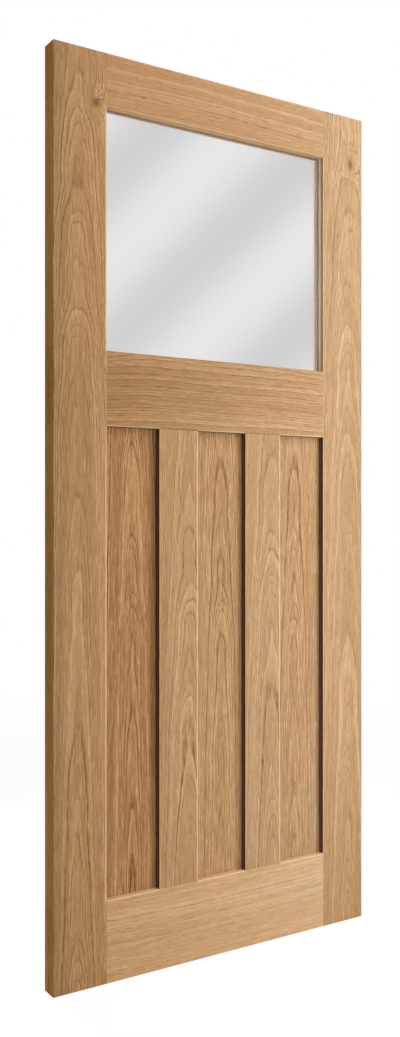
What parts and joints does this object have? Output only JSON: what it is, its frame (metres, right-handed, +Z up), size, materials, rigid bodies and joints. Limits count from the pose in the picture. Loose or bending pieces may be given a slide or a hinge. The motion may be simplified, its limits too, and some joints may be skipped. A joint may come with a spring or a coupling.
{
  "type": "half glazed door",
  "caption": "Framed oak door leaf with a clear glazed upper light and flat recessed panels between muntins below; an undrilled blank for hanging in a frame.",
  "frame": {"origin": "foot of the hinge edge (the left edge as the front is seen), at mid-thickness", "axes": "+X across the leaf from the hinge edge to the latch edge, +Y from the front face to the back, +Z up the leaf"},
  "size_m": [0.838, 0.044, 1.981],
  "materials": {
    "oak_frame": "satin",
    "oak_panel": "satin",
    "oak_bead": "satin",
    "glass": "clear",
    "glazing_tape": "matt",
    "setting_block": "matt"
  },
  "bodies": {
    "root": {"left_stile": "oak_frame", "right_stile": "oak_frame", "top_rail": "oak_frame", "middle_rail": "oak_frame", "bottom_rail": "oak_frame", "left_muntin": "oak_frame", "right_muntin": "oak_frame", "left_panel": "oak_panel", "centre_panel": "oak_panel", "right_panel": "oak_panel", "bottom_glazing_bead": "oak_bead", "right_glazing_bead": "oak_bead", "top_glazing_bead": "oak_bead", "left_glazing_bead": "oak_bead", "glass_pane": "glass", "front_glazing_tape": "glazing_tape", "back_glazing_tape": "glazing_tape", "left_setting_block": "setting_block", "right_setting_block": "setting_block"}
  },
  "joints": []
}
